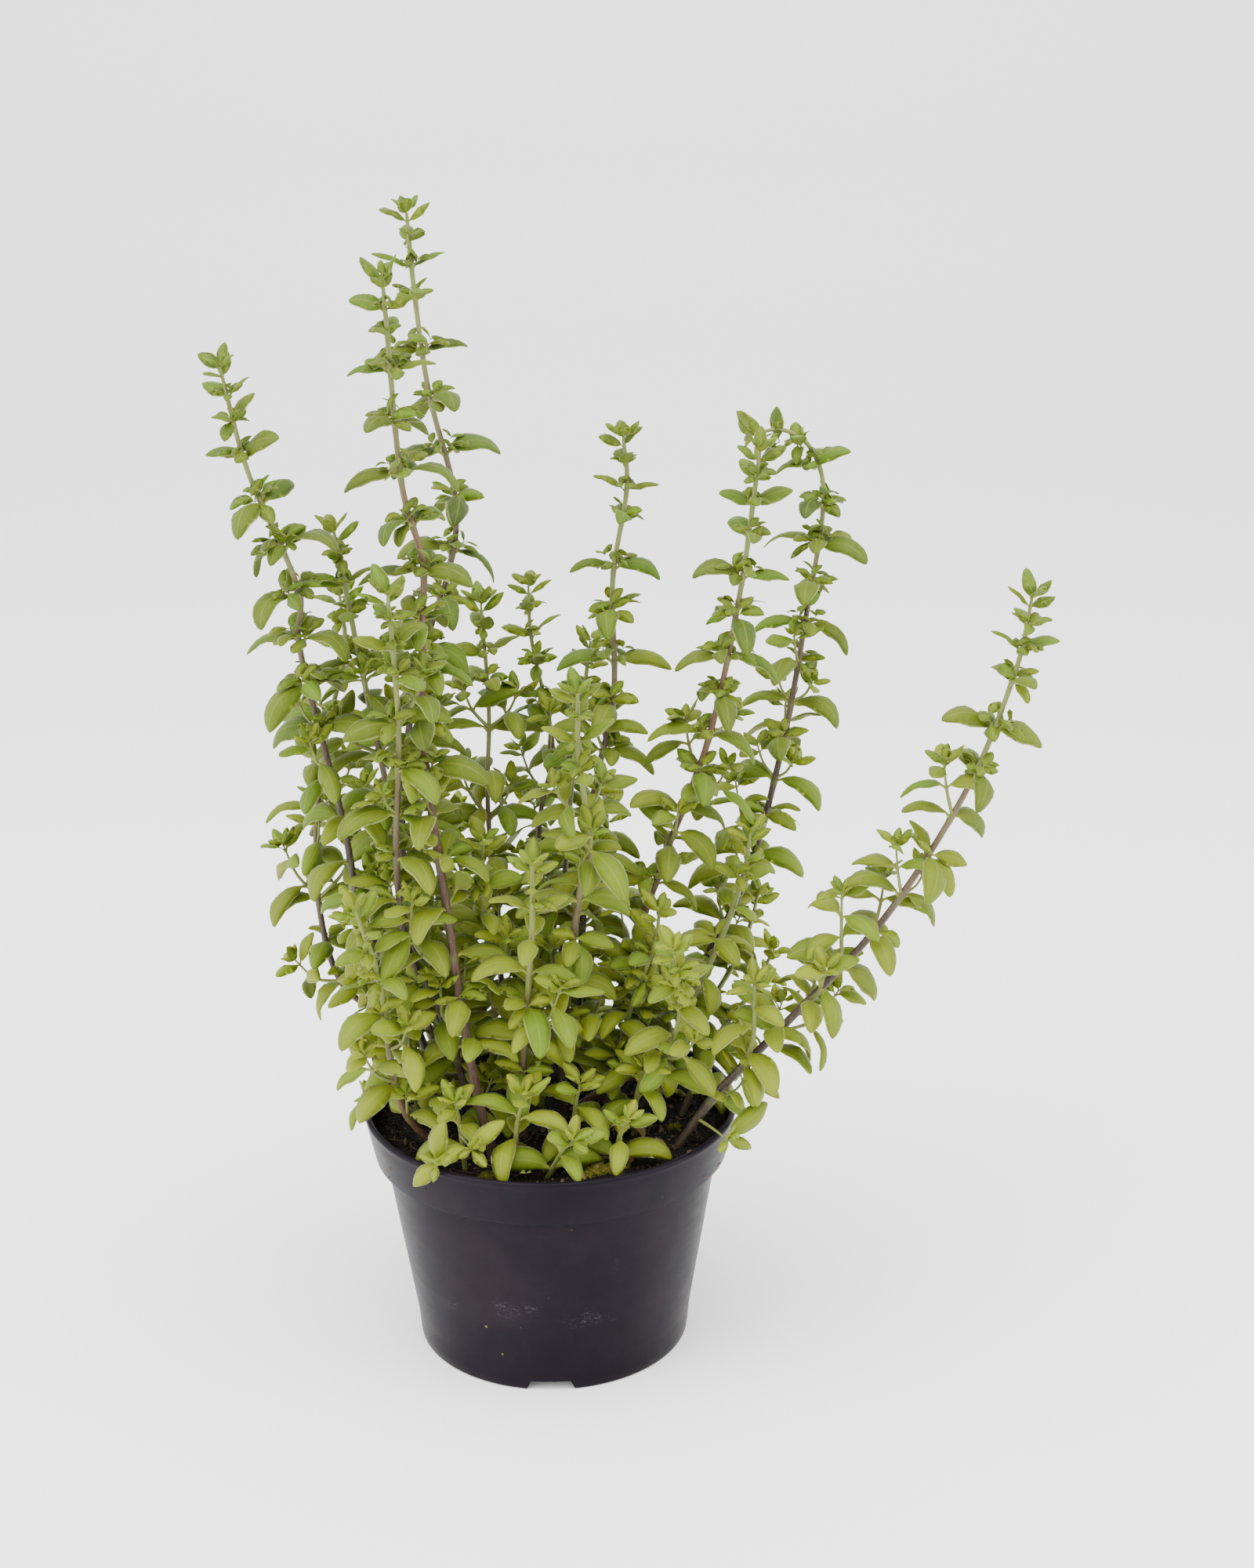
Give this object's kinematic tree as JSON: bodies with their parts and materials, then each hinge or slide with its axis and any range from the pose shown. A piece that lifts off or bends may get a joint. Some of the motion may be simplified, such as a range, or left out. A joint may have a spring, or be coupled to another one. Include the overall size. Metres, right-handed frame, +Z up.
{
  "type": "potted oregano",
  "caption": "Potted oregano plant: leafy upright stems with small arched opposite leaves in a black round nursery pot of soil.",
  "frame": {"origin": "middle of the plant's whole width and depth, at the ground the pot stands on", "axes": "+Z up along the height, +X to the right across the width, +Y towards the back; the pot's axis is 31.2 mm to the left of the origin and 9.1 mm in front of it"},
  "size_m": [0.2664, 0.149, 0.3888],
  "materials": {
    "black_pot_plastic": "satin moulded plastic",
    "peat_soil": "matte loose peat",
    "grey_green_leaf": "soft matte, finely hairy",
    "bright_green_leaf": "soft matte, finely hairy"
  },
  "bodies": {
    "root": {"pot": "black_pot_plastic", "soil": "peat_soil", "stem_tall_back": "grey_green_leaf", "stem_tall_front": "grey_green_leaf", "stem_left_inner": "grey_green_leaf", "stem_left_front": "grey_green_leaf", "stem_left_back": "grey_green_leaf", "stem_left_outer": "grey_green_leaf", "stem_left_low": "bright_green_leaf", "stem_middle_back": "grey_green_leaf", "stem_centre_back": "grey_green_leaf", "stem_centre_inner": "grey_green_leaf", "stem_centre_front": "grey_green_leaf", "stem_right_inner": "grey_green_leaf", "stem_right_tall": "grey_green_leaf", "stem_right_bent": "grey_green_leaf", "stem_right_short": "bright_green_leaf", "stem_right_outer": "grey_green_leaf", "stem_right_low": "bright_green_leaf", "stem_front_short": "bright_green_leaf", "stem_middle_right": "bright_green_leaf", "stem_middle_left": "bright_green_leaf", "shoot_front_left": "bright_green_leaf", "shoot_front_round": "bright_green_leaf", "shoot_front_low": "bright_green_leaf", "shoot_front_middle": "bright_green_leaf", "shoot_front_right": "bright_green_leaf", "shoot_right_inner": "bright_green_leaf", "shoot_left_inner": "bright_green_leaf", "shoot_back_left": "bright_green_leaf", "shoot_back_outer": "bright_green_leaf", "shoot_back_middle": "bright_green_leaf", "shoot_back_right": "bright_green_leaf", "shoot_right_side": "bright_green_leaf"}
  },
  "joints": []
}
